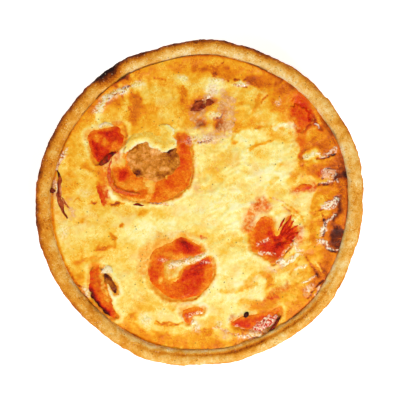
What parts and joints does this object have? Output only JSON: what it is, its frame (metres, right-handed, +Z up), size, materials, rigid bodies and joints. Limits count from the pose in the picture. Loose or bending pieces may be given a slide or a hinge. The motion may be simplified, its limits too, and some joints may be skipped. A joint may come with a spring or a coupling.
{
  "type": "quiche",
  "caption": "Small round whole quiche: a shallow pastry case with a rounded rim, filled with browned custard set with tomato slices and small toppings.",
  "frame": {"origin": "centre of the flat base of the pastry case, on the surface that it stands on", "axes": "+Z up out of the filling; +Y towards the side where the filling stands highest against the rim; +X to its right"},
  "size_m": [0.1607, 0.1594, 0.0302],
  "materials": {
    "pastry": null,
    "custard": null,
    "tomato": null,
    "browned": null,
    "ham": null
  },
  "bodies": {
    "root": {"crust": "pastry", "filling": "custard", "tomato_slice_large": "tomato", "tomato_slice_middle": "tomato", "tomato_slice_right": "tomato", "tomato_chunk_left": "tomato", "tomato_chunk_upper_right": "tomato", "tomato_wedge_lower_right": "tomato", "tomato_crescent": "tomato", "tomato_bit_bottom": "tomato", "tomato_bit_right": "tomato", "ham_strip_left": "ham", "ham_bit_top": "ham", "ham_bit_right": "ham", "browned_bit_left": "browned", "browned_core": "browned"}
  },
  "joints": []
}
